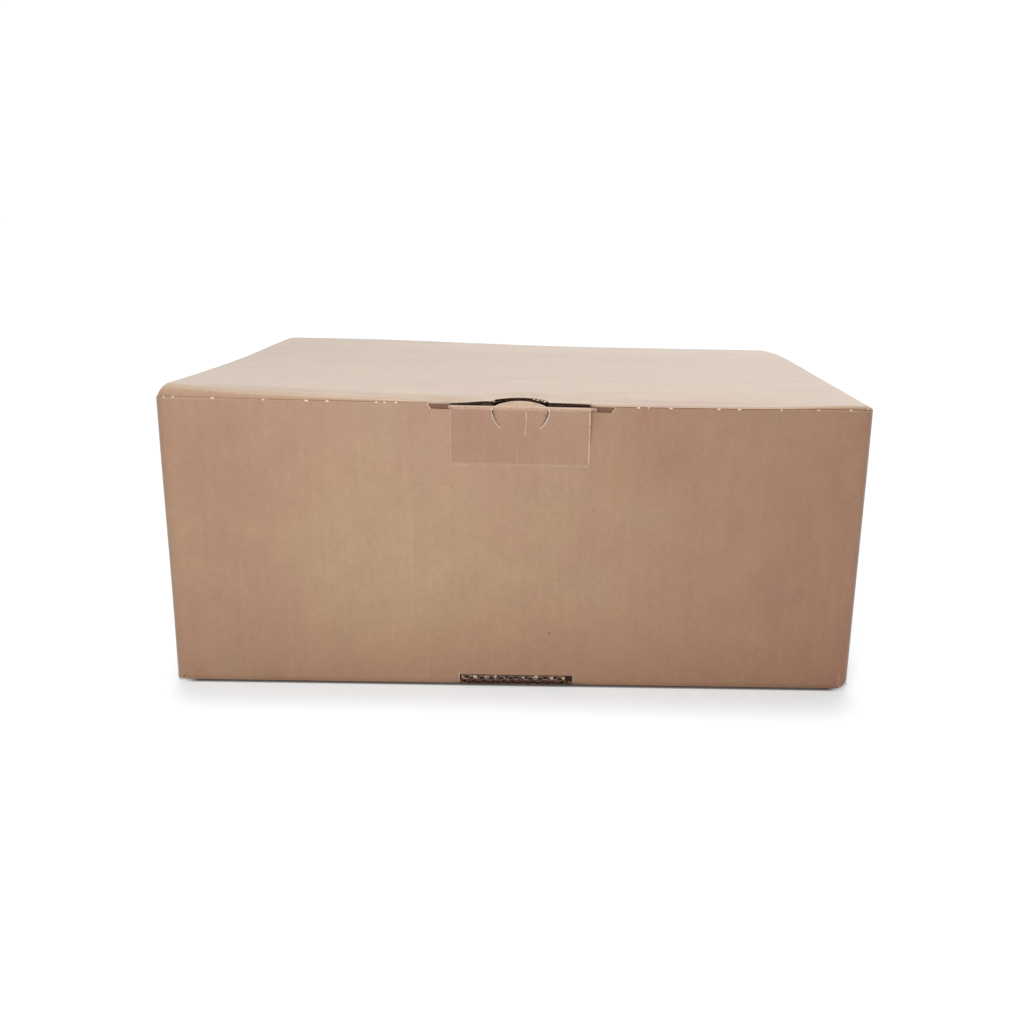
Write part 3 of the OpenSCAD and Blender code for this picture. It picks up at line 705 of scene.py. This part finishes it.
def tab_marks(tree, place, parts):
    """Rubbed edges, wrinkles and thumb cuts of the tab, with painted shade inside the thumb cuts."""
    board = bpy.context.scene.box_board
    x, y, z = parts.outputs
    patchy = remap(tree, grain(tree, place, 500, 3, 0.6), 0.36, 0.60, 0.2, 1.0)
    low, high = CREASE_Z, TAB_FOLD_Z + 0.001
    lines = [
        ((TAB_LEFT, low), (TAB_LEFT, high), 0.0008, 0.35),
        ((TAB_RIGHT, low), (TAB_RIGHT, high), 0.0011, 0.9),
        ((TAB_LEFT, high), (TAB_RIGHT, high), 0.0013, 0.35),
    ]
    lines += [(a, b, 0.0008, 0.6) for a, b, _ in WRINKLES[:2]]
    lines += [(a, b, 0.0007, 0.3) for a, b, _ in WRINKLES[2:]]
    masks = [product(tree, near_line(tree, parts, a, b, 0.0001, wide), much)
             for a, b, wide, much in lines]
    dx = calc(tree, "SUBTRACT", x, TAB_X)
    dz = calc(tree, "SUBTRACT", z, THUMB_Z)
    squares = calc(tree, "MULTIPLY_ADD", dx, dx, calc(tree, "MULTIPLY", dz, dz))
    off = calc(tree, "SUBTRACT", calc(tree, "SQRT", squares), THUMB_R)
    reach = within(tree, dz, -0.0122, -0.0012, 0.0008)
    outside = product(tree, within(tree, off, -0.0002, 0.0008, 0.0003), reach)
    # Painted shade inside the thumb cuts
    inside = product(tree, within(tree, off, -0.0009, -0.0003, 0.0003),
                     remap(tree, dz, -0.0090, -0.0030, 0.0, 0.5), reach)
    return [*((calc(tree, "MULTIPLY", mask, patchy), board.scuffed) for mask in masks),
            (inside, board.shaded), (calc(tree, "MULTIPLY", outside, 0.45), board.torn)]


class BOX_OT_lock_tab(bpy.types.Operator):
    """Dresses the lock tab in the front wall"""

    bl_idname = "box.lock_tab"
    bl_label = "Lock tab"

    def execute(self, context):
        work = solid_copy("lock_tab")
        cut_across(work, 0, steps(TAB_LOW.x, TAB_HIGH.x, 30))
        cut_across(work, 0, [-0.0010 + 0.0003 * i for i in range(30)])
        cut_across(work, 2, steps(CREASE_Z, TAB_HIGH.z, 24))
        for vert in work.verts:
            vert.co = tab_wear(vert.co)
        # The tab is darkened by painted shade, more at its left than at its right
        finish_piece(work, "lock_tab_board", [kraft_liner("kraft_tab", tab_marks, (0.64, 0.26))],
                     "lock_tab", "lock_tab")
        return {"FINISHED"}


def crease_marks(tree, place, parts):
    """The light line of the tab's crease."""
    board = bpy.context.scene.box_board
    patchy = remap(tree, grain(tree, place, 300, 3, 0.6), 0.36, 0.60, 0.25, 1.0)
    line = near_line(tree, parts, (TAB_LEFT, CREASE_Z), (TAB_RIGHT, CREASE_Z), 0.0001, 0.0013)
    corner = near_line(tree, parts, (TAB_RIGHT - 0.003, CREASE_Z), (TAB_RIGHT, CREASE_Z), 0.0003, 0.0014)
    return [(product(tree, line, patchy, 0.2), board.scuffed), (product(tree, corner, 0.35), board.scuffed)]


class BOX_OT_tab_crease(bpy.types.Operator):
    """Makes the crushed board of the tab's crease"""

    bl_idname = "box.tab_crease"
    bl_label = "Tab crease"

    def execute(self, context):
        work = bmesh.new()
        low, high = CREASE_Z - 0.0012, CREASE_Z + 0.0016
        proud = 0.00006
        middle = Vector((TAB_X, FRONT_Y + (BOARD_T - proud) / 2, (low + high) / 2))
        size = Vector((TAB_W - 0.0002, BOARD_T + proud, high - low))
        bmesh.ops.create_cube(work, size=1.0, matrix=Matrix.LocRotScale(middle, None, size))
        cut_across(work, 2, steps(low, high, 14))
        cut_across(work, 0, steps(TAB_LEFT, TAB_RIGHT, 40))
        made = finish_piece(work, "tab_crease_board", [kraft_liner("kraft_crease", crease_marks)])
        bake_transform(made)
        return {"FINISHED"}


def add_fibre(work, chance, place, size, turn=0.0, material=0):
    """Adds one torn bit of paper, a flat lump with an uneven edge."""
    made = bmesh.ops.create_icosphere(work, subdivisions=2, radius=1.0)["verts"]
    shift = Vector([chance.uniform(-9, 9) for _ in range(3)])
    matrix = Matrix.LocRotScale(Vector(place), Euler((0, turn, 0)), Vector(size))
    for vert in made:
        uneven = 1 + 0.45 * noise.noise(vert.co * 1.3 + shift)
        vert.co = matrix @ (vert.co * uneven)
    for face in {face for vert in made for face in vert.link_faces}:
        face.material_index = material


class BOX_OT_torn_fibres(bpy.types.Operator):
    """Makes the pale torn bits along the cut edges"""

    bl_idname = "box.torn_fibres"
    bl_label = "Torn fibres"

    def execute(self, context):
        board = context.scene.box_board
        chance = random.Random(context.scene.box_wear.seed)
        noise.seed_set(context.scene.box_wear.seed)
        work = bmesh.new()
        # Nicks on the front wall's cut edge
        for x, half in NICKS:
            place = carton_wear(Vector((x * MM, FRONT_Y + 0.0002, WALL_H - 0.0001)))
            add_fibre(work, chance, place, (half * MM, 0.0004, 0.5 * MM), chance.uniform(-0.3, 0.3))
        # Bits of liner on the slit's edge, along the curve of the recess
        for x, half in SLIT_BITS:
            inner = max(0.0, THUMB_R ** 2 - (x * MM - TAB_X) ** 2)
            place = carton_wear(Vector((x * MM, LIP_Y + math.sqrt(inner) - 0.0005, 0.1875)))
            add_fibre(work, chance, place, (half * MM, 0.0004, 0.40 * MM), chance.uniform(-0.4, 0.4))
        # Bits of fluted paper on the tongue's edge in the bottom slot
        for x, half in SLOT_BITS:
            add_fibre(work, chance, (x * MM, FRONT_Y + SLOT_SET - 0.0001, chance.uniform(0.0048, 0.0056)),
                      (half * MM, 0.0005, 0.95 * half * MM), chance.uniform(-0.5, 0.5), 1)
        bmesh.ops.recalc_face_normals(work, faces=work.faces)
        finish_piece(
            work, "torn_fibres",
            [fibre_paper("torn_paper", board.torn, board.scuffed, 0.45, 0.75),
             fibre_paper("frayed_paper", board.scuffed, board.liner, 0.40, 0.70)], "carton")
        return {"FINISHED"}


def photo_camera():
    """The camera at the photograph's viewing angle."""
    data = bpy.data.cameras.new("view")
    data.sensor_width = 36
    data.lens = 37.5335
    data.shift_x = -0.046875
    data.clip_start, data.clip_end = 0.01, 100
    camera = bpy.data.objects.new("view", data)
    camera.location = (0.018125, -0.821593, 0.295762)
    camera.rotation_euler = Euler([math.radians(a) for a in (74.74957, -1.18359, -0.55188)])
    bpy.context.collection.objects.link(camera)
    bpy.context.scene.camera = camera


def add_light(kind, name, place, aim, power):
    """One light that looks at a point."""
    data = bpy.data.lights.new(name, kind)
    data.energy = power
    lamp = bpy.data.objects.new(name, data)
    lamp.location = place
    lamp.rotation_euler = (Vector(aim) - Vector(place)).to_track_quat("-Z", "Y").to_euler()
    bpy.context.collection.objects.link(lamp)
    return lamp


def soft_sky(strength):
    """Even white light. The backdrop itself stays white."""
    world = bpy.data.worlds.new("soft_sky")
    world.use_nodes = True
    tree = world.node_tree
    diffuse = add_node(tree, "ShaderNodeLightPath").outputs["Is Diffuse Ray"]
    ways = add_node(tree, "ShaderNodeSeparateXYZ",
                    {0: add_node(tree, "ShaderNodeTexCoord").outputs["Generated"]})
    brighter_right = calc(tree, "MAXIMUM", calc(tree, "ADD", ways.outputs[0], 1.45), 1.02)
    tree.links.new(remap(tree, diffuse, 0, 1, brighter_right, strength),
                   tree.nodes["Background"].inputs["Strength"])
    tree.nodes["Background"].inputs["Color"].default_value = (1, 1, 1, 1)
    bpy.context.scene.world = world


def pale_floor(stage):
    """The plain floor, which glows a little so that it stays white around the shadow, with a painted contact
    shadow next to the box.
    """
    work = bmesh.new()
    bmesh.ops.create_grid(work, x_segments=1, y_segments=1, size=stage.floor_size / 2)
    mesh = bpy.data.meshes.new("floor")
    work.to_mesh(mesh)
    work.free()
    floor = bpy.data.objects.new("floor", mesh)
    bpy.context.collection.objects.link(floor)
    material, tree, shader = new_material("pale_floor")
    # Painted contact shadow: the floor is darker and does not glow in a thin band along the box's sides, but
    # not at its corners
    parts = add_node(tree, "ShaderNodeSeparateXYZ",
                     {0: add_node(tree, "ShaderNodeTexCoord").outputs["Object"]})
    across, deep = (calc(tree, "ABSOLUTE", parts.outputs[i]) for i in (0, 1))
    shades = [
        product(tree, remap(tree, off, edge + 0.0006, edge + 0.0034, 1, 0),
                remap(tree, run, end - 0.0140, end - 0.0040, 1, 0))
        for off, edge, run, end in ((deep, BACK_Y, across, HALF_W), (across, HALF_W, deep, BACK_Y))
    ]
    lit = calc(tree, "SUBTRACT", 1.0, calc(tree, "MAXIMUM", *shades))
    diffuse = add_node(tree, "ShaderNodeLightPath").outputs["Is Diffuse Ray"]
    tone = mixed(tree, diffuse, stage.floor_colour, [stage.floor_bounce] * 3)
    tree.links.new(mixed(tree, lit, (0.22, 0.20, 0.19), tone), shader.inputs["Base Color"])
    glow = product(tree, remap(tree, diffuse, 0, 1, stage.floor_glow, 0), lit)
    tree.links.new(glow, shader.inputs["Emission Strength"])
    shader.inputs["Emission Color"].default_value = (1, 1, 1, 1)
    shader.inputs["Roughness"].default_value = 0.9
    shader.inputs["Specular IOR Level"].default_value = 0.0
    mesh.materials.append(material)


class BOX_OT_stage(bpy.types.Operator):
    """Sets up the camera, the plain floor and the soft light"""

    bl_idname = "box.stage"
    bl_label = "Stage"

    def execute(self, context):
        stage = context.scene.box_stage
        photo_camera()
        soft_sky(stage.sky)
        pale_floor(stage)
        key = add_light("AREA", "key", (-0.12, -0.80, 0.28), (-0.02, -0.17, 0.10), stage.key)
        key.data.size = 0.25
        key.visible_camera = False
        overhead = add_light("SUN", "overhead", (0, 0.249, 1), (0, 0, 0), stage.overhead)
        overhead.data.angle = math.radians(20)
        context.scene.view_settings.view_transform = "Standard"
        return {"FINISHED"}


class BOX_PT_panel(bpy.types.Panel):
    """The box's pieces and settings"""

    bl_label = "Closed cardboard box"
    bl_idname = "BOX_PT_panel"
    bl_space_type = "VIEW_3D"
    bl_region_type = "UI"
    bl_category = "Box"

    def draw(self, context):
        scene = context.scene
        for group in (scene.box_board, scene.box_wear, scene.box_stage):
            for name in group.__annotations__:
                self.layout.prop(group, name)
        for piece in PIECES:
            self.layout.operator(piece.bl_idname)


PIECES = (BOX_OT_stage, BOX_OT_carton, BOX_OT_lock_tab, BOX_OT_tab_crease, BOX_OT_torn_fibres)
CLASSES = (BoardSettings, WearSettings, StageSettings, *PIECES, BOX_PT_panel)


def register():
    """Adds the classes and the sidebar settings."""
    for each in CLASSES:
        bpy.utils.register_class(each)
    bpy.types.Scene.box_board = PointerProperty(type=BoardSettings)
    bpy.types.Scene.box_wear = PointerProperty(type=WearSettings)
    bpy.types.Scene.box_stage = PointerProperty(type=StageSettings)


def unregister():
    """Takes the classes and the sidebar settings away."""
    del bpy.types.Scene.box_board
    del bpy.types.Scene.box_wear
    del bpy.types.Scene.box_stage
    for each in reversed(CLASSES):
        bpy.utils.unregister_class(each)


def main():
    """Makes every piece in order."""
    register()
    bpy.ops.box.stage()
    bpy.ops.box.carton()
    bpy.ops.box.lock_tab()
    bpy.ops.box.tab_crease()
    bpy.ops.box.torn_fibres()
    bpy.context.view_layer.update()


if __name__ == "__main__":
    main()
